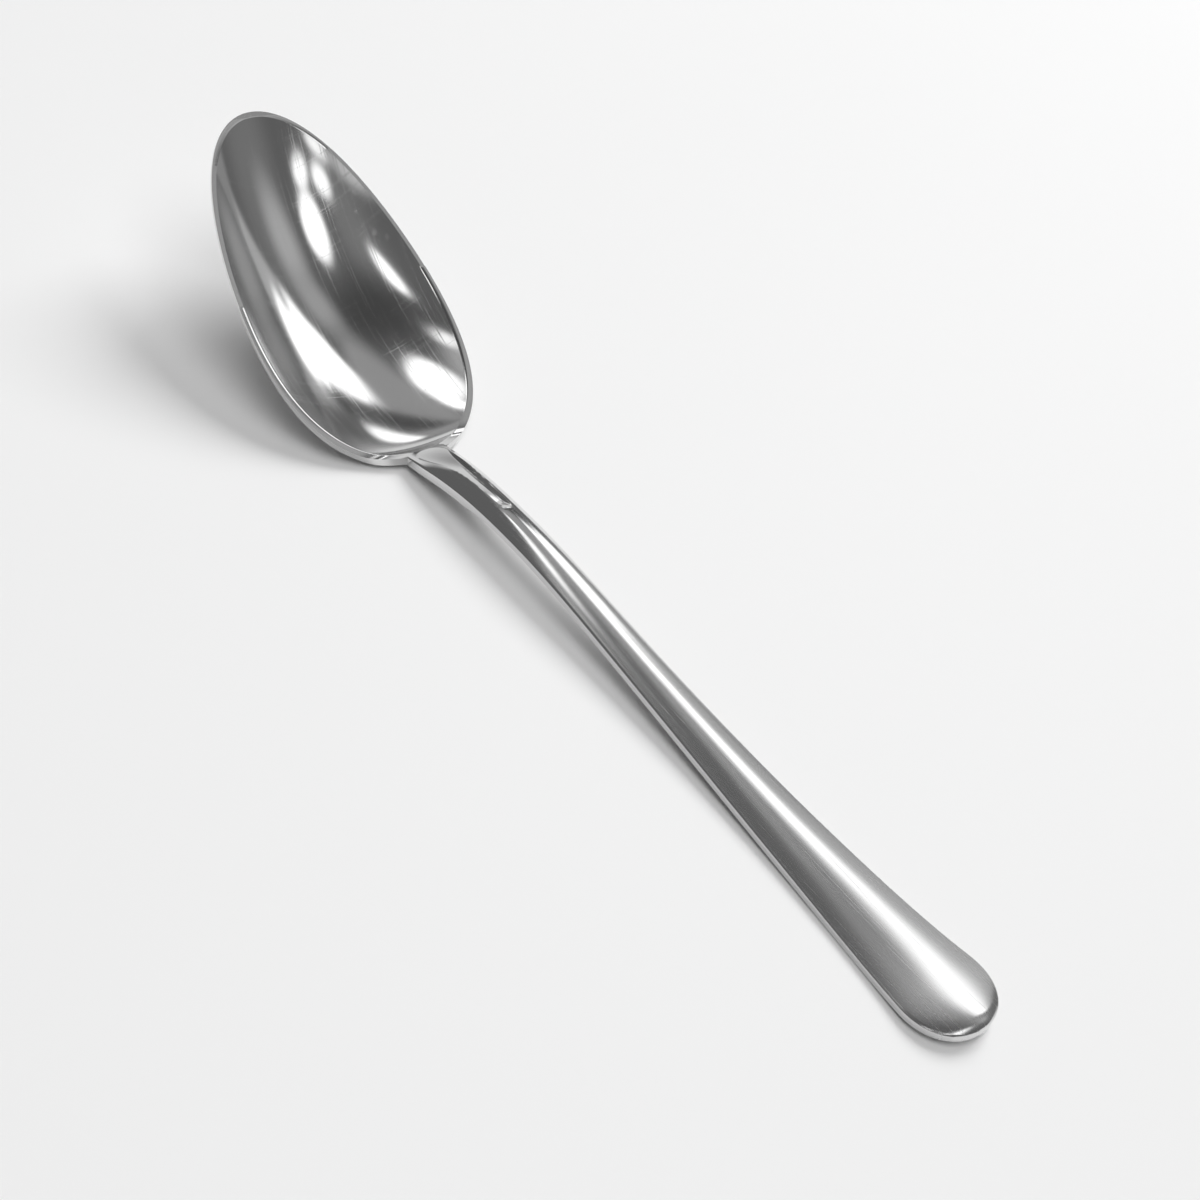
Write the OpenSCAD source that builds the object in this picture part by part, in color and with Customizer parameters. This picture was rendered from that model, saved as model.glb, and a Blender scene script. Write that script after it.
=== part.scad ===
/* [Overall] */
// Length of the spoon over its two ends, measured level
spoon_len = 138.3; // [130:0.1:145]

/* [Bowl] */
// Length of the bowl from the toe to the heel
bowl_len = 44.4; // [42:0.2:48]
// Width of the bowl's outline before its taper: its greatest width is about 1 % more
bowl_w = 31.6; // [29:0.2:33]
// Depth of the hollow below the rim
bowl_depth = 5.4; // [4.6:0.1:7]
// Thickness of the bowl's wall at its deepest point
wall_t = 1; // [0.8:0.05:1.3]
// Width of the flat ground rim
rim_w = 0.65; // [0.4:0.05:1.2]
// Thickness of the rim's outer edge
rim_edge = 0.25; // [0.15:0.05:0.5]
// How much narrower the toe is than the heel, as a share of the width
taper_share = 0.18; // [0.1:0.01:0.25]
// How square the bowl's outline is, as a share of the width
square_share = 0.06; // [0:0.01:0.08]
// Power of the hollow's section: 2 is a plain dish, more has a flatter floor
dish_power = 2; // [2:0.1:3]
// Height of the rim at the toe
toe_h = 21.4; // [16:0.2:24]
// Height of the rim at the heel
heel_h = 1.2; // [0.8:0.1:3]
// How far the rim sags between toe and heel
rim_sag = 0.4; // [0:0.1:1]

/* [Neck] */
// Length of the pressed tongue behind the heel
tongue_len = 14.2; // [11:0.2:17]
// Height that the tongue's floor keeps above the edges of the neck
tongue_floor = 0.12; // [0:0.02:0.2]
// How much shallower the tongue is at its tip, as a share of its depth
tongue_rise_share = 0.65; // [0.4:0.05:0.8]
// Width of the tongue's sloping edge, as a share of the neck's half-width
tongue_edge_share = 0.12; // [0.08:0.01:0.3]
// Width of the tongue at its tip, as a share of the neck's width
tongue_tip_share = 0.3; // [0.15:0.01:0.5]
// Height of the neck's crown, where the tongue is cut into it
neck_crown = 1.2; // [0.8:0.05:1.6]
// Length behind the heel over which the neck's crown settles to the handle's
crown_settle = 30; // [20:1:50]
// How far before the heel the crown begins to rise
crown_lead = 2; // [1:0.1:3]
// Length over which the crown rises to its full height
crown_rise = 8; // [6:0.5:12]
// Extra thickness under the middle of the neck
neck_belly = 0.8; // [0.4:0.05:1.2]
// Radius measure of the shoulders where the bowl runs into the neck
shoulder = 2; // [0.6:0.1:2.4]
// How far behind the heel the handle's own outline begins
width_lag = 1.6; // [0.4:0.1:2.4]
// Length over which the rim's thin edge grows into the handle's edge
edge_rise = 6; // [4:0.5:8]
// Size of the fillet between the bowl's underside and the neck
fillet_size = 1.2; // [0.6:0.1:2]
// How far behind the heel that fillet reaches
fillet_reach = 12; // [8:0.5:16]
// How far before the heel the handle's curve begins
neck_lead = 2.4; // [1:0.1:4]
// Softness of the bend between the rim and the neck
heel_bend = 0.5; // [0.2:0.05:2]

/* [Handle] */
// Width that the handle's rounded end would reach if it ran on square
end_w = 15; // [12:0.1:16]
// Height of the handle's edges where it arches behind the neck
arch_h = 4.8; // [3:0.1:8]
// Length of the rounding at the handle's end
end_round = 7; // [5:0.1:8]
// Height of the crown along the handle
crown_h = 0.7; // [0.4:0.05:1.2]
// Length over which the crown dies out at the handle's end
crown_fall = 1.4; // [1:0.2:12]
// Thickness of the handle's edge at the neck
neck_edge = 0.75; // [0.6:0.05:1.2]
// Thickness of the handle's edge at its end
end_edge = 0.95; // [0.8:0.05:1.4]
// Width of the small bevel along the handle's upper edges
bevel = 0.2; // [0.1:0.02:0.35]

/* [Hidden] */

// Heights of the handle's edges, at even steps from the neck to the end
arch_shares = [0.36, 0.84, 0.98, 0.99, 0.88, 0.74, 0.62, 0.515, 0.43, 0.38, 0.345, 0.37, 0.56];
arch_start = bowl_len - neck_lead;
arch_step = (spoon_len - arch_start)/(len(arch_shares) - 1);
// Half-widths of the handle, at even steps from the heel to the end
width_shares = [0.385, 0.375, 0.365, 0.395, 0.45, 0.535, 0.65, 0.8, 1];
width_start = bowl_len + width_lag;
width_step = (spoon_len - width_start)/(len(width_shares) - 1);
heel_x = bowl_len;

// Finest steps of the surface, across the spoon and along each stretch
across_n = 20;
bowl_n = 38;
neck_n = 24;
handle_n = 20;
end_n = 10;
// How far behind the heel the neck's close steps reach, as a share of the tongue's length
neck_reach_share = 1.2;
neck_reach = tongue_len*neck_reach_share;
// Share of the handle's length over which the neck's belly dies out
belly_reach_share = 0.71;
// Least width of the upper face at the toe, and its greatest elsewhere, as shares of the outline
toe_face_share = 0.33;
face_share = 0.96;
// Angles that space the steps: from the toe, over the rounded end, and across the spoon
toe_turn = 146;
end_turn = 87;
across_turn = 67.5;

// Smooth curve through the neighbourhood of evenly spaced values
function bump(t) = (pow(max(2 - abs(t), 0), 3) - 4*pow(max(1 - abs(t), 0), 3))/6;
function padded(v) = concat([2*v[0] - v[1]], v, [2*v[len(v) - 1] - v[len(v) - 2]]);
function total(v, i = 0) = i < len(v) ? v[i] + total(v, i + 1) : 0;
function curve(v, t) = let (p = padded(v))
    total([for (i = [0:len(p) - 1]) p[i]*bump(t - i + 1)]);
// Larger of two values, with a soft change from one to the other
function soft_max(a, b, k) = (a + b + sqrt((a - b)*(a - b) + k*k))/2;
function ramp(t) = let (u = min(max(t, 0), 1)) u*u*(3 - 2*u);

// Side profile: the level of the rim and of the handle's edges, and its slope
function rim_level(s) = toe_h + (heel_h - toe_h)*s - rim_sag*4*s*(1 - s);
function arch_level(t) = arch_h*curve(arch_shares, t);
function level(x) = soft_max(rim_level(x/bowl_len), arch_level((x - arch_start)/arch_step), heel_bend);
slope_span = heel_bend/3;
function slope(x) = atan2(level(x + slope_span) - level(x - slope_span), 2*slope_span);

// Egg outline of the bowl: cosine along its length, half-width, and widening towards the heel
function along(x, lead, length) = min(max(1 - 2*(x - lead)/length, -1), 1);
function egg_reach(c, half) = half*(1 - taper_share*c + square_share*(2*c*c - 1));
function egg(x, lead, length, half) = let (c = along(x, lead, length))
    egg_reach(c, half)*sqrt(1 - c*c);

// Quarter of an ellipse that falls to nothing at the handle's end, over a given reach
function rounding(x, reach) = sqrt(1 - pow(min(max((x - spoon_len + reach)/reach, 0), 1), 2));
// Half-width of the handle, with its rounded end
function bar(x) = end_w/2*curve(width_shares, (x - width_start)/width_step)*rounding(x, end_round);
// Softness of the meeting of bowl and neck, which fades out along the neck
function meeting(x) = shoulder*(1 - ramp((x - heel_x)/neck_reach));
// Outline of the whole spoon
function half_w(x) = x < bowl_len/2 ? egg(x, 0, bowl_len, bowl_w/2)
    : soft_max(egg(x, 0, bowl_len, bowl_w/2), bar(x), meeting(x));
// Outline of the hollow and of the handle's upper face
function hollow_len() = bowl_len - 2*rim_w;
function face_w(x) = let (e = egg(x, rim_w, hollow_len(), bowl_w/2 - rim_w))
    x < bowl_len/2 ? max(e, half_w(x)*toe_face_share)
    : min(soft_max(e, bar(x)*(1 - 2*bevel/end_w) - bevel/2, meeting(x)), half_w(x)*face_share);

// How far a point lies from the middle of the hollow, 1 on its outline
function spread(x, y, lead, length, half) = let (c = along(x, lead, length))
    min(sqrt(c*c + pow(y/egg_reach(c, half), 2)), 1);
function dish(x, y, lead, length, half, depth) =
    depth*(1 - pow(spread(x, y, lead, length, half), dish_power));

// Crown of neck and handle, and the tongue pressed into it behind the heel
function travel(x) = (x - heel_x)/(spoon_len - heel_x);
function crown(x) = (neck_crown + (crown_h - neck_crown)*ramp((x - heel_x)/crown_settle))
    *ramp((x - heel_x + crown_lead)/crown_rise)*rounding(x, crown_fall);
function tongue_reach(u) = tongue_tip_share + (1 - tongue_tip_share)*pow(1 - u, 3);
function tongue(x, v) = let (u = min(max((x - heel_x)/tongue_len, 0), 1))
    (1 - tongue_rise_share*u)
    *ramp((tongue_reach(u) - abs(v))/tongue_edge_share)*ramp((1 - u)/tongue_edge_share);
function upper(x, y, v) = let (k = crown(x)*(1 - v*v), t = tongue(x, v))
    k - t*max(k - tongue_floor, 0) - dish(x, y, rim_w, hollow_len(), bowl_w/2 - rim_w, bowl_depth);

// Edge thickness, and the underside of bowl, neck and handle
function to_handle(x) = ramp((x - heel_x)/edge_rise + 0.5);
function edge_t(x) = rim_edge
    + (neck_edge + (end_edge - neck_edge)*travel(x) - rim_edge)*to_handle(x);
function belly(x, v) = neck_belly*to_handle(x)*(1 - ramp(travel(x)/belly_reach_share))*(1 - v*v);
function fillet(x) = rim_edge
    + fillet_size*ramp((x - bowl_len/2)/(bowl_len/2))*(1 - to_handle(x - fillet_reach));
function lower(x, y, v) = -soft_max(dish(x, y, 0, bowl_len, bowl_w/2, bowl_depth + wall_t),
    edge_t(x) + belly(x, v), fillet(x));

// Stations along the spoon: close together at the toe, on the neck and at the end
toe_turns = [for (i = [1:bowl_n]) toe_turn*i/bowl_n];
bowl_stations = [for (a = toe_turns) bowl_len*(1 - cos(a))/2];
neck_from = bowl_len*(1 - cos(toe_turn))/2;
neck_to = heel_x + neck_reach;
round_from = spoon_len - end_round;
neck_stations = [for (i = [1:neck_n]) neck_from + (neck_to - neck_from)*i/neck_n];
handle_stations = [for (i = [1:handle_n]) neck_to + (round_from - neck_to)*i/handle_n];
end_stations = [for (i = [1:end_n]) round_from + end_round*sin(end_turn*i/end_n)];
stations = concat(bowl_stations, neck_stations, handle_stations, end_stations);

// One closed section: over the upper face from left to right, and back underneath
function place(x, y, h) = let (a = slope(x)) [x - h*sin(a), y, level(x) + h*cos(a)];
steps = [for (i = [0:across_n]) sin(across_turn*(2*i/across_n - 1))/sin(across_turn)];
function section(x) = let (w = half_w(x), f = face_w(x), e = edge_t(x), d = bevel*to_handle(x)) concat(
    [for (v = steps) place(x, f*v, upper(x, f*v, v))],
    [place(x, w, -d)],
    [for (i = [across_n:-1:0]) place(x, w*steps[i], lower(x, w*steps[i], steps[i]))],
    [place(x, -w, -d)]);
rings = [for (x = stations) section(x)];
ring_n = len(rings[0]);
last = len(rings) - 1;
floor_z = min([for (r = rings) min([for (p = r) p[2]])]);
points = [for (r = rings) for (p = r) [p[0] - spoon_len/2, p[1], p[2] - floor_z]];
function at(i, j) = i*ring_n + j % ring_n;
skin = [for (i = [0:last - 1]) for (j = [0:ring_n - 1]) each [
    [at(i, j), at(i, j + 1), at(i + 1, j + 1)],
    [at(i, j), at(i + 1, j + 1), at(i + 1, j)]]];
// The closed ends: each upper point is joined to the lower point under it
function under(j) = 2*across_n + 2 - j;
function cap_faces(i) = concat(
    [for (j = [0:across_n - 1]) each [
        [at(i, j), at(i, under(j + 1)), at(i, j + 1)],
        [at(i, j), at(i, under(j)), at(i, under(j + 1))]]],
    [[at(i, across_n), at(i, across_n + 2), at(i, across_n + 1)],
     [at(i, 0), at(i, ring_n - 1), at(i, ring_n - 2)]]);
toe_cap = cap_faces(0);
end_cap = [for (f = cap_faces(last)) [f[0], f[2], f[1]]];

// The spoon is one piece: bowl, neck and handle pressed from a single blank
module spoon() {
    color("silver")
    polyhedron(points = points, faces = concat(toe_cap, skin, end_cap), convexity = 6);
}

spoon();
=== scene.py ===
import math

import bpy
from mathutils import Matrix, Vector


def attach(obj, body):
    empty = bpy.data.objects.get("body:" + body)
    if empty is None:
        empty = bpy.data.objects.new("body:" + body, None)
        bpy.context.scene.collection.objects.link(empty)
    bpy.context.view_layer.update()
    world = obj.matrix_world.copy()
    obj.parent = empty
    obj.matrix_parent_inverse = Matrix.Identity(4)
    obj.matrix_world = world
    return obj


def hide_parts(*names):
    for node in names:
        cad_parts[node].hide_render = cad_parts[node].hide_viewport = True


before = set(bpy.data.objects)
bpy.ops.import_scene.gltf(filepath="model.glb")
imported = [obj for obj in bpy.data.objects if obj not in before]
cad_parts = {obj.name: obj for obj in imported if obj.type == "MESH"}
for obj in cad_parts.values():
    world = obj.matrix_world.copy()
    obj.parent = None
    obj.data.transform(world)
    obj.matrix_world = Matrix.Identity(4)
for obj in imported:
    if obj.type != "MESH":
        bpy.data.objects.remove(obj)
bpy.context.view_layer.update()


# The spoon: one piece of stainless steel.  The flat blank is rolled thinner at
# the bowl, pressed to shape between dies, ground along its rim and polished
# bright in the bowl, while the handle keeps the fine lengthwise grain of its buffing.

class Wire:
    """A socket of a node tree: arithmetic on it adds Math nodes, and make() adds any other node."""

    def __init__(self, tree, socket=None):
        self.tree = tree
        self.socket = socket

    def make(self, kind, settings=None, sockets=None, out=0):
        """Add a node and return its output named by out, or a list of them all where out is None."""
        node = self.tree.nodes.new(kind)
        for name, value in (settings or {}).items():
            setattr(node, name, value)
        for name, value in (sockets or {}).items():
            if isinstance(value, Wire):
                self.tree.links.new(value.socket, node.inputs[name])
            else:
                node.inputs[name].default_value = value
        if out is None:
            return [Wire(self.tree, socket) for socket in node.outputs]
        return Wire(self.tree, node.outputs[out])

    def math(self, operation, *values):
        return self.make("ShaderNodeMath", {"operation": operation}, dict(enumerate(values)))

    def __add__(self, other):
        return self.math("ADD", self, other)

    def __sub__(self, other):
        return self.math("SUBTRACT", self, other)

    def __rsub__(self, other):
        return self.math("SUBTRACT", other, self)

    def __mul__(self, other):
        return self.math("MULTIPLY", self, other)

    def __truediv__(self, other):
        return self.math("DIVIDE", self, other)

    def __rtruediv__(self, other):
        return self.math("DIVIDE", other, self)

    def __pow__(self, other):
        return self.math("POWER", self, other)

    def __neg__(self):
        return self.math("MULTIPLY", self, -1.0)

    def __abs__(self):
        return self.math("ABSOLUTE", self)

    def __lt__(self, other):
        return self.math("LESS_THAN", self, other)

    def __gt__(self, other):
        return self.math("GREATER_THAN", self, other)

    __radd__ = __add__
    __rmul__ = __mul__

    def root(self):
        return self.math("SQRT", self)

    def sine(self):
        return self.math("SINE", self)

    def cosine(self):
        return self.math("COSINE", self)

    def least(self, other):
        return self.math("MINIMUM", self, other)

    def most(self, other):
        return self.math("MAXIMUM", self, other)

    def clamp(self, low, high):
        return self.most(low).least(high)

    def ramp(self):
        """Soft step from 0 to 1."""
        held = self.clamp(0.0, 1.0)
        return held * held * (3.0 - 2.0 * held)

    def soft_most(self, other, softness):
        """The larger of two values, with the corner between them rounded."""
        gap = self - other
        return (self + other + (gap * gap + softness * softness).root()) / 2.0


def bare(owner):
    """Empty a material's or the world's node tree and start a wire on it."""
    owner.use_nodes = True
    owner.node_tree.nodes.clear()
    return Wire(owner.node_tree)


def stand(name, data):
    """Put a new object with this data into the scene."""
    thing = bpy.data.objects.new(name, data)
    bpy.context.scene.collection.objects.link(thing)
    return thing


# Sizes in millimetres, as the blank is dimensioned, and shares of them
MM = 0.001
spoon_sizes = {
    "Length": 138.3,
    "Bowl length": 44.4,
    "Bowl width": 31.6,
    "Bowl depth": 5.4,
    "Wall": 1.0,
    "Rim width": 0.65,
    "Rim edge": 0.25,
    "Taper share": 0.18,
    "Square share": 0.06,
    "Dish power": 2.0,
    "Toe height": 21.4,
    "Heel height": 1.2,
    "Rim sag": 0.4,
    "Tongue length": 14.2,
    "Tongue floor": 0.12,
    "Tongue edge share": 0.12,
    "Tongue tip share": 0.3,
    "Tongue rise share": 0.65,
    "Neck crown": 1.2,
    "Crown settle": 30.0,
    "Crown lead": 2.0,
    "Crown rise": 8.0,
    "Neck belly": 0.8,
    "Shoulder": 2.0,
    "Width lag": 1.6,
    "Edge rise": 6.0,
    "Fillet": 1.2,
    "Fillet reach": 12.0,
    "Neck lead": 2.4,
    "Heel bend": 0.5,
    "End width": 15.0,
    "End round": 7.0,
    "Arch height": 4.8,
    "Crown": 0.7,
    "Crown fall": 1.4,
    "Neck edge": 0.75,
    "End edge": 0.95,
    "Bevel": 0.2,
}
arch_shares = [0.36, 0.84, 0.98, 0.99, 0.88, 0.74, 0.62, 0.515, 0.43, 0.38, 0.345, 0.37, 0.56]
width_shares = [0.385, 0.375, 0.365, 0.395, 0.45, 0.535, 0.65, 0.8, 1.0]
neck_past_tongue = 1.2
belly_end_share = 0.71
least_face_share = 0.33
most_face_share = 0.96

# The grid that is bent into the spoon: rows along it, and the points of a row around it
rows = 560
upper_steps = 76
under_steps = 44
row_points = upper_steps + under_steps + 5
bowl_part, neck_part, handle_part = 0.40, 0.60, 0.90
toe_turn = math.radians(146.0)
spread_turn = math.radians(67.5)
weld_gap = 0.004
sharp_turn = math.radians(32.0)

spoon_tree = bpy.data.node_groups.new("spoon_press", "GeometryNodeTree")
spoon_tree.interface.new_socket("Geometry", in_out="OUTPUT", socket_type="NodeSocketGeometry")
size_ids = {}
for name, value in spoon_sizes.items():
    item = spoon_tree.interface.new_socket(name, in_out="INPUT", socket_type="NodeSocketFloat")
    item.default_value = value
    size_ids[name] = item.identifier
steel_item = spoon_tree.interface.new_socket("Steel", in_out="INPUT", socket_type="NodeSocketMaterial")

press = Wire(spoon_tree)
entries = press.make("NodeGroupInput", out=None)
size = dict(zip(spoon_sizes, entries))
steel_wire = entries[len(spoon_sizes)]
length, bowl, end_round = size["Length"], size["Bowl length"], size["End round"]
half_bowl = size["Bowl width"] / 2.0
rim = size["Rim width"]
hollow = bowl - 2.0 * rim


def bump(t):
    near, nearer = (2.0 - abs(t)).most(0.0), (1.0 - abs(t)).most(0.0)
    return (near * near * near - 4.0 * nearer * nearer * nearer) / 6.0


def curve(shares, t):
    """Smooth curve near the shares, which stand one unit of t apart."""
    padded = [2 * shares[0] - shares[1]] + shares + [2 * shares[-1] - shares[-2]]
    total = padded[0] * bump(t + 1.0)
    for i, share in enumerate(padded[1:]):
        total = total + share * bump(t - float(i))
    return total


arch_start = bowl - size["Neck lead"]
arch_step = (length - arch_start) / float(len(arch_shares) - 1)
width_start = bowl + size["Width lag"]
width_step = (length - width_start) / float(len(width_shares) - 1)


def level(x):
    """Height of the bent centre line: the rim's line over the bowl, then the arch of neck and handle."""
    s = x / bowl
    fall = size["Heel height"] - size["Toe height"]
    rim_level = size["Toe height"] + fall * s - size["Rim sag"] * 4.0 * s * (1.0 - s)
    arch = size["Arch height"] * curve(arch_shares, (x - arch_start) / arch_step)
    return rim_level.soft_most(arch, size["Heel bend"])


def along(x, lead, whole):
    return (1.0 - 2.0 * (x - lead) / whole).clamp(-1.0, 1.0)


def egg_reach(c, half):
    return half * (1.0 - size["Taper share"] * c + size["Square share"] * (2.0 * c * c - 1.0))


def egg(x, lead, whole, half):
    c = along(x, lead, whole)
    return egg_reach(c, half) * (1.0 - c * c).most(0.0).root()


def rounding(x, reach):
    u = ((x - length + reach) / reach).clamp(0.0, 1.0)
    return (1.0 - u * u).most(0.0).root()


def dish(x, y, lead, whole, half, depth):
    c = along(x, lead, whole)
    across = y / egg_reach(c, half)
    spread = (c * c + across * across).root().least(1.0)
    return depth * (1.0 - spread ** size["Dish power"])


# Where each row of the grid lies along the spoon
grid = press.make("GeometryNodeMeshGrid", None,
                  {"Size X": 1.0, "Size Y": 1.0, "Vertices X": rows, "Vertices Y": row_points})
spot_x, spot_y, _ = press.make(
    "ShaderNodeSeparateXYZ", None, {"Vector": press.make("GeometryNodeInputPosition")}, None)
u = spot_x + 0.5
j = (spot_y + 0.5) * float(row_points - 1)

neck_from = bowl * ((1.0 - math.cos(toe_turn)) / 2.0)
neck_to = bowl + size["Tongue length"] * neck_past_tongue
round_from = length - end_round
x_bowl = bowl * (1.0 - (u * (toe_turn / bowl_part)).cosine()) / 2.0
x_neck = neck_from + (neck_to - neck_from) * ((u - bowl_part) / (neck_part - bowl_part))
x_handle = neck_to + (round_from - neck_to) * ((u - neck_part) / (handle_part - neck_part))
turn = ((u - handle_part) / (1.0 - handle_part)).clamp(0.0, 1.0) * (math.pi / 2.0)
x_end = round_from + end_round * turn.sine()
in_bowl, in_neck, in_handle = u < bowl_part, u < neck_part, u < handle_part
x = (in_bowl * x_bowl + (1.0 - in_bowl) * in_neck * x_neck
     + (1.0 - in_neck) * in_handle * x_handle + (1.0 - in_handle) * x_end)

# Outline of the blank, and of the hollow and the upper face inside it
bar = (size["End width"] / 2.0 * curve(width_shares, (x - width_start) / width_step)
       * rounding(x, end_round))
softness = size["Shoulder"] * (1.0 - ((x - bowl) / (size["Tongue length"] * neck_past_tongue)).ramp())
toeward = x < bowl / 2.0
outer_egg = egg(x, 0.0, bowl, half_bowl)
half_w = toeward * outer_egg + (1.0 - toeward) * outer_egg.soft_most(bar, softness)
inner_egg = egg(x, rim, hollow, half_bowl - rim)
face_bar = bar * (1.0 - 2.0 * size["Bevel"] / size["End width"]) - size["Bevel"] / 2.0
face_w = (toeward * inner_egg.most(half_w * least_face_share)
          + (1.0 - toeward) * inner_egg.soft_most(face_bar, softness).least(half_w * most_face_share))

# The point's place in its row: over the upper face, over the edge, and back underneath
closing = j > row_points - 1.5
is_upper = (j < upper_steps + 0.5).most(closing)
is_right = (j > upper_steps + 0.5) * (j < upper_steps + 1.5)
is_under = (j > upper_steps + 1.5) * (j < upper_steps + under_steps + 2.5)
is_left = (1.0 - is_upper) * (1.0 - is_under) * (1.0 - is_right)
upper_place = (j * (1.0 - closing)) * (2.0 / upper_steps) - 1.0
under_place = 1.0 - (j - float(upper_steps + 2)) * (2.0 / under_steps)
upper_v = (upper_place * spread_turn).sine() / math.sin(spread_turn)
under_v = (under_place * spread_turn).sine() / math.sin(spread_turn)

# Height of the upper face: the crown, the tongue pressed into it, and the bowl's hollow
to_handle = ((x - bowl) / size["Edge rise"] + 0.5).ramp()
travel = (x - bowl) / (length - bowl)
settled = ((x - bowl) / size["Crown settle"]).ramp()
crown = ((size["Neck crown"] + (size["Crown"] - size["Neck crown"]) * settled)
         * ((x - bowl + size["Crown lead"]) / size["Crown rise"]).ramp()
         * rounding(x, size["Crown fall"]))
ahead = 1.0 - ((x - bowl) / size["Tongue length"]).clamp(0.0, 1.0)
tongue_reach = size["Tongue tip share"] + (1.0 - size["Tongue tip share"]) * ahead * ahead * ahead
tongue = ((1.0 - size["Tongue rise share"] * (1.0 - ahead))
          * ((tongue_reach - abs(upper_v)) / size["Tongue edge share"]).ramp()
          * (ahead / size["Tongue edge share"]).ramp())
y_upper = face_w * upper_v
crowned = crown * (1.0 - upper_v * upper_v)
h_upper = (crowned - tongue * (crowned - size["Tongue floor"]).most(0.0)
           - dish(x, y_upper, rim, hollow, half_bowl - rim, size["Bowl depth"]))

# Height of the underside: the bowl's back, running with a fillet into the neck's rounded belly
edge_gain = size["Neck edge"] + (size["End edge"] - size["Neck edge"]) * travel - size["Rim edge"]
edge_t = size["Rim edge"] + edge_gain * to_handle
belly = (size["Neck belly"] * to_handle * (1.0 - (travel / belly_end_share).ramp())
         * (1.0 - under_v * under_v))
y_under = half_w * under_v
blend = (size["Rim edge"] + size["Fillet"] * ((x - bowl / 2.0) / (bowl / 2.0)).ramp()
         * (1.0 - ((x - size["Fillet reach"] - bowl) / size["Edge rise"] + 0.5).ramp()))
back_of_bowl = dish(x, y_under, 0.0, bowl, half_bowl, size["Bowl depth"] + size["Wall"])
h_under = -back_of_bowl.soft_most(edge_t + belly, blend)

y = is_upper * y_upper + is_under * y_under + (is_right - is_left) * half_w
h = is_upper * h_upper + is_under * h_under - (is_right + is_left) * size["Bevel"] * to_handle

# Each ring stands square to the centre line
span = size["Heel bend"] / 3.0
rise = (level(x + span) - level(x - span)) / (2.0 * span)
lean = 1.0 / (1.0 + rise * rise).root()
placed = press.make("ShaderNodeCombineXYZ", None, {
    "X": (x - h * rise * lean - length / 2.0) * MM,
    "Y": y * MM,
    "Z": (level(x) + h * lean) * MM})
shaped = press.make("GeometryNodeSetPosition", None, {"Geometry": grid, "Position": placed})
closed = press.make("GeometryNodeMergeByDistance", None, {"Geometry": shaped, "Distance": weld_gap * MM})
smooth = press.make("GeometryNodeSetShadeSmooth", None, {"Geometry": closed})
real = press.make("GeometryNodeRealizeInstances", None, {"Geometry": smooth})
coated = press.make("GeometryNodeSetMaterial", None, {"Geometry": real, "Material": steel_wire})
press.make("NodeGroupOutput", None, {"Geometry": coated}, None)

steel = bpy.data.materials.new("polished_steel")
finish = bare(steel)
metre_x, metre_y, _ = finish.make(
    "ShaderNodeSeparateXYZ", None, {"Vector": finish.make("ShaderNodeTexCoord", out="Object")}, None)
steel_x, steel_y = metre_x / MM, metre_y / MM
handle_from, handle_over = -12.0, 12.0
worn_from, worn_over = 40.0, 24.0
on_handle = ((steel_x - handle_from) / handle_over).ramp()
worn = ((steel_x - worn_from) / worn_over).ramp()


def spread_noise(along_by, across_by, detail):
    """Noise drawn out over the steel: its two scales are per millimetre, along and across the spoon."""
    where = finish.make("ShaderNodeCombineXYZ", None, {"X": steel_x * along_by, "Y": steel_y * across_by})
    return finish.make("ShaderNodeTexNoise", None, {"Vector": where, "Scale": 1.0, "Detail": detail})


# Fine lengthwise grain, a few longer scuffs, scratches across the bowl, and the faint waves of the pressing
grain = spread_noise(0.25, 9.0, 3.0)
scuffs = ((spread_noise(0.07, 5.0, 1.0) - 0.62) / 0.06).ramp()
cross = ((spread_noise(6.0, 0.06, 1.0) - 0.64) / 0.05).ramp() * (1.0 - on_handle)
waves = spread_noise(0.06, 0.22, 1.0)

# Five small pits in the bowl: place along, place across and radius, in millimetres
pit_places = ((-58.4, 10.3, 0.3), (-53.6, 11.0, 0.4), (-56.6, 9.8, 0.25),
              (-52.2, 12.1, 0.3), (-48.6, 2.1, 0.22))
pit_squeeze = 1.6
pit_edge = 1.6
pits = 0.0 * steel_x
for pit_x, pit_y, pit_r in pit_places:
    away_x, away_y = steel_x - pit_x, (steel_y - pit_y) * pit_squeeze
    pits = pits + (pit_edge - (away_x * away_x + away_y * away_y).root() / pit_r).ramp()

# Heights and depths as shares of the relief, which is a hundredth of a millimetre
relief_height = 0.01
wave_share, grain_share, scuff_share = 0.9, 0.010, 0.004
cross_share, pit_share = 0.002, 0.02
bowl_grain_share = 0.35
grain_and_scuffs = grain * grain_share + scuffs * scuff_share
relief = (waves * wave_share
          + grain_and_scuffs * (bowl_grain_share + (1.0 - bowl_grain_share) * on_handle)
          - cross * cross_share - pits * pit_share)
bumped = finish.make("ShaderNodeBump", None, {
    "Height": relief, "Strength": 1.0, "Distance": relief_height * MM})

# How rough the bowl's polish is, and what the handle's buffing and each mark adds to it
polish, buffing, worn_end = 0.085, 0.06, 0.03
bowl_grain, handle_grain = 0.03, 0.05
scuff_dull, cross_dull, pit_dull = 0.08, 0.06, 0.1
roughness = (polish + buffing * on_handle + (bowl_grain + handle_grain * on_handle) * grain
             + scuff_dull * scuffs + cross_dull * cross + pit_dull * pits.least(1.0) + worn_end * worn)
metal = finish.make("ShaderNodeBsdfPrincipled", None, {
    "Base Color": (0.72, 0.72, 0.72, 1.0), "Metallic": 1.0, "Roughness": roughness, "Normal": bumped})
finish.make("ShaderNodeOutputMaterial", None, {"Surface": metal}, None)

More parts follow.
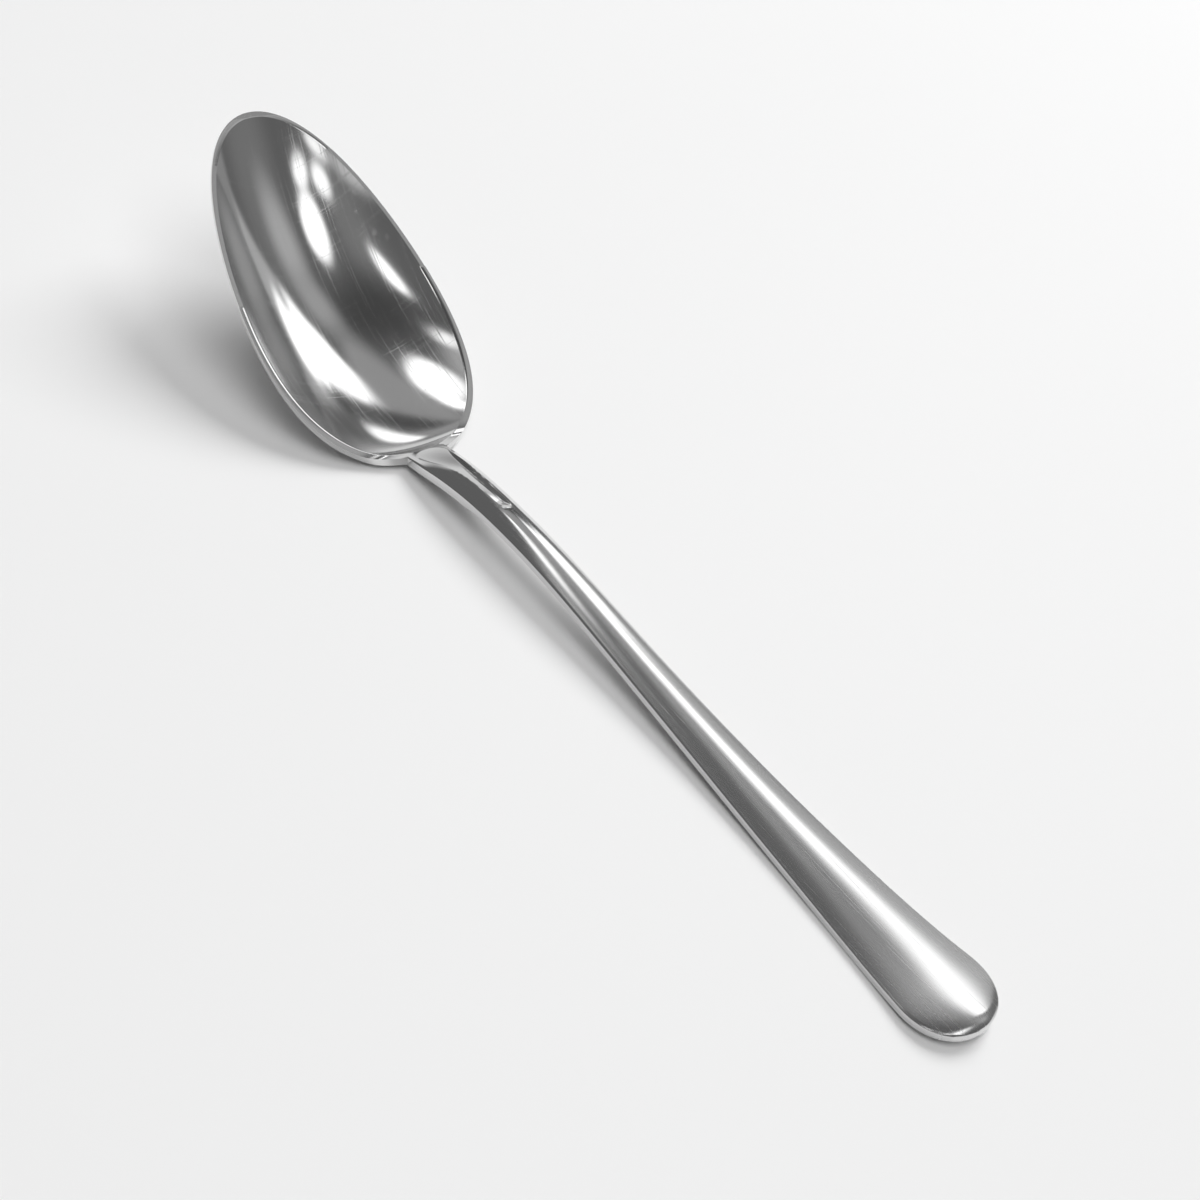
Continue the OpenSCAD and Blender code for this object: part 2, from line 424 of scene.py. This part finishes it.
blank = stand("blank", bpy.data.meshes.new("blank"))
press_modifier = blank.modifiers.new("press", "NODES")
press_modifier.node_group = spoon_tree
for name, value in spoon_sizes.items():
    press_modifier[size_ids[name]] = value
press_modifier[steel_item.identifier] = steel
pressed = blank.evaluated_get(bpy.context.evaluated_depsgraph_get())
steel_mesh = bpy.data.meshes.new_from_object(pressed)
blank.modifiers.remove(press_modifier)
bpy.data.objects.remove(blank)
steel_mesh.name = "spoon_steel"
low = min(vertex.co.z for vertex in steel_mesh.vertices)
steel_mesh.transform(Matrix.Translation((0.0, 0.0, -low)))
steel_mesh.set_sharp_from_angle(angle=sharp_turn)
spoon = stand("spoon_steel", steel_mesh)
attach(spoon, "root")
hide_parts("spoon")


# The floor: a plain pale surface under the spoon, which takes its shadow.
reach = 3.0
floor_mesh = bpy.data.meshes.new("floor")
floor_mesh.from_pydata([(-reach, -reach, 0), (reach, -reach, 0), (reach, reach, 0), (-reach, reach, 0)],
                       [], [(0, 1, 2, 3)])
floor = stand("floor", floor_mesh)
pale = bpy.data.materials.new("pale_floor")
ground = bare(pale)
board = ground.make("ShaderNodeBsdfPrincipled", None, {"Base Color": (0.9, 0.9, 0.9, 1.0), "Roughness": 0.6})
ground.make("ShaderNodeOutputMaterial", None, {"Surface": board}, None)
floor_mesh.materials.append(pale)


# The light: a dim even room and two large soft lamps for the floor, and soft boxes
# and grey cards around the spoon, which show only in reflections.
room = bpy.data.worlds.new("room")
bpy.context.scene.world = room
air = bare(room)
glow = air.make("ShaderNodeBackground", None, {"Color": (0.14, 0.14, 0.14, 1.0), "Strength": 1.0})
air.make("ShaderNodeOutputWorld", None, {"Surface": glow}, None)


def heading(east, north):
    """Direction to a point of the sky chart: degrees from straight overhead, towards X and towards Y."""
    bearing, down = math.atan2(north, east), math.radians(math.hypot(east, north))
    return Vector((math.sin(down) * math.cos(bearing), math.sin(down) * math.sin(bearing), math.cos(down)))


# Lamps: name, place on the sky chart, distance and width in metres, and watts
lamps = (("window", -14, 46, 2.0, 1.1, 30.0), ("ceiling", 12, -8, 2.2, 2.0, 24.0))
for name, east, north, away, wide, power in lamps:
    lamp_data = bpy.data.lights.new(name, "AREA")
    lamp_data.energy = power
    lamp_data.size = wide
    lamp = stand(name, lamp_data)
    toward = heading(east, north)
    facing = toward.to_track_quat("Z", "Y").to_matrix().to_4x4()
    lamp.matrix_world = Matrix.Translation(toward * away) @ facing
    lamp.visible_glossy = False

# Cards on the sky chart: place, half-sizes across and along, and turn, in degrees, then level,
# softness of the edge, distance in metres, and the spot of the spoon that the chart is drawn from.
# Each card stands a little nearer than its distance by its number in the list, so that of two
# cards at one distance the later one is in front.
far = (2.0, -0.047, 0.0)
cards = (
    (24, 52, 20, 20, 0, 0.21, 0.6, *far),
    (24, -14, 12, 9, 0, 0.22, 0.7, *far),
    (-7, 70, 7, 22, 6, 0.50, 0.25, *far),
    (-18, 70, 6, 12, 0, 0.45, 0.3, *far),
    (-12, 84, 16, 5, 0, 0.30, 0.3, *far),
    (-12, 47, 5, 15, -30, 2.1, 0.3, *far),
    (-50, 35, 10, 26, 0, 0.80, 0.4, *far),
    (-22, 27, 18, 12, 0, 0.36, 0.4, 0.4, -0.034, 0.004),
    (-14, 50, 8, 8.5, 0, 1.8, 0.15, 0.35, -0.041, -0.003),
    (-14, 60, 6, 7, 0, 1.8, 0.2, 0.35, -0.041, -0.005),
    (-14, 66, 6, 4, 0, 1.8, 0.3, 0.35, -0.040, -0.006),
    (-26, 44, 2.8, 20, 0, 0.08, 0.35, 0.35, -0.033, -0.005),
    (-33, 46, 2.2, 8.5, 0, 1.8, 0.25, 0.35, -0.029, -0.001),
    (26, 10.5, 7, 8.5, 35, 1.9, 0.3, *far),
    (37.5, 8, 3, 5.5, 8, 1.7, 0.5, *far),
    (35, -6, 3, 5, -20, 1.7, 0.4, *far),
    (41, -8, 1.5, 7, -25, 1.6, 0.5, *far),
    (33, -24, 2, 9, -30, 0.7, 0.5, *far),
    (-8, -12, 4, 9, 30, 0.50, 0.4, 0.35, -0.035, 0.013),
    (-13.5, 6.5, 4.4, 9, 30, 1.9, 0.2, 0.35, -0.033, 0.009),
    (-21, 11, 2.2, 3, 0, 2.2, 0.3, 0.35, -0.030, 0.009),
    (14.8, -18.6, 5, 2.5, 5, 2.0, 0.25, *far),
    (-1, -15, 1.6, 3, 20, 1.6, 0.4, 0.35, -0.038, 0.013),
    (6, 2, 8, 22, 8, 0.07, 0.7, *far),
    (18, 41, 9.5, 11, 0, 0.50, 0.7, *far),
    (5, 35, 6, 10, 0, 0.42, 0.7, *far),
    (-10, 29, 5, 5.5, 0, 0.45, 0.5, *far))
spot_height = 0.010
nearer_each = 0.01
card_points, card_uvs, card_levels, card_softs = [], [], [], []
for i, (east, north, across, lengthwise, turned, card_level, soft, away, from_x, from_y) in enumerate(cards):
    toward = heading(east, north)
    eastward = heading(east + 0.5, north) - heading(east - 0.5, north)
    northward = heading(east, north + 0.5) - heading(east, north - 0.5)
    side = (eastward.normalized() - toward * eastward.normalized().dot(toward)).normalized()
    rise_way = toward.cross(side)
    if rise_way.dot(northward) < 0.0:
        rise_way = -rise_way
    turn_by = math.radians(turned)
    axis_a = side * math.cos(turn_by) + rise_way * math.sin(turn_by)
    axis_b = rise_way * math.cos(turn_by) - side * math.sin(turn_by)
    away = away * (1.0 - nearer_each * i)
    middle = Vector((from_x, from_y, spot_height)) + toward * away
    half_a = away * math.tan(math.radians(across))
    half_b = away * math.tan(math.radians(lengthwise))
    edge = 1.0 + soft
    for u_way, v_way in ((-edge, -edge), (edge, -edge), (edge, edge), (-edge, edge)):
        card_points.append(middle + axis_a * half_a * u_way + axis_b * half_b * v_way)
        card_uvs.append((u_way, v_way))
        card_levels.append(card_level)
        card_softs.append(soft)
card_mesh = bpy.data.meshes.new("cards")
card_mesh.from_pydata(card_points, [], [tuple(range(4 * i, 4 * i + 4)) for i in range(len(cards))])
card_uv = card_mesh.uv_layers.new(name="UVMap")
for loop in card_mesh.loops:
    card_uv.data[loop.index].uv = card_uvs[loop.vertex_index]
card_mesh.attributes.new("level", "FLOAT", "POINT").data.foreach_set("value", card_levels)
card_mesh.attributes.new("soft", "FLOAT", "POINT").data.foreach_set("value", card_softs)

# A card glows at its level out to its softened, rounded edge, and is clear beyond it
card_look = bpy.data.materials.new("card_glow")
sheet = bare(card_look)
card_u, card_v, _ = sheet.make(
    "ShaderNodeSeparateXYZ", None, {"Vector": sheet.make("ShaderNodeUVMap", {"uv_map": "UVMap"})}, None)
softness_in = sheet.make("ShaderNodeAttribute", {"attribute_name": "soft"}, None, "Fac")
level_in = sheet.make("ShaderNodeAttribute", {"attribute_name": "level"}, None, "Color")
card_reach = (card_u * card_u + card_v * card_v).root()
cover = ((1.0 + softness_in - card_reach) / (2.0 * softness_in)).ramp()
shine = sheet.make("ShaderNodeEmission", None, {"Color": level_in, "Strength": 1.0})
clear = sheet.make("ShaderNodeBsdfTransparent")
mixed = sheet.make("ShaderNodeMixShader", None, {0: cover, 1: clear, 2: shine})
sheet.make("ShaderNodeOutputMaterial", None, {"Surface": mixed}, None)
card_mesh.materials.append(card_look)
card_set = stand("cards", card_mesh)
for way in ("camera", "diffuse", "shadow", "transmission", "volume_scatter"):
    setattr(card_set, "visible_" + way, False)


# The camera: where the photograph was taken from, seen from the spoon.
focal_pixels, picture_pixels, sensor = 1837.9, 1200.0, 36.0
eye = (0.0825, -0.14391, 0.14)
around, above, tilt = math.radians(28.037), math.radians(39.633), math.radians(26.86)
view_data = bpy.data.cameras.new("view")
view_data.sensor_width = sensor
view_data.lens = focal_pixels / picture_pixels * sensor
view = stand("view", view_data)
facing = Matrix.Rotation(around, 4, "Z") @ Matrix.Rotation(math.pi / 2.0 - above, 4, "X")
view.matrix_world = Matrix.Translation(eye) @ facing @ Matrix.Rotation(tilt, 4, "Z")
bpy.context.scene.camera = view
bpy.context.scene.view_settings.view_transform = "Standard"
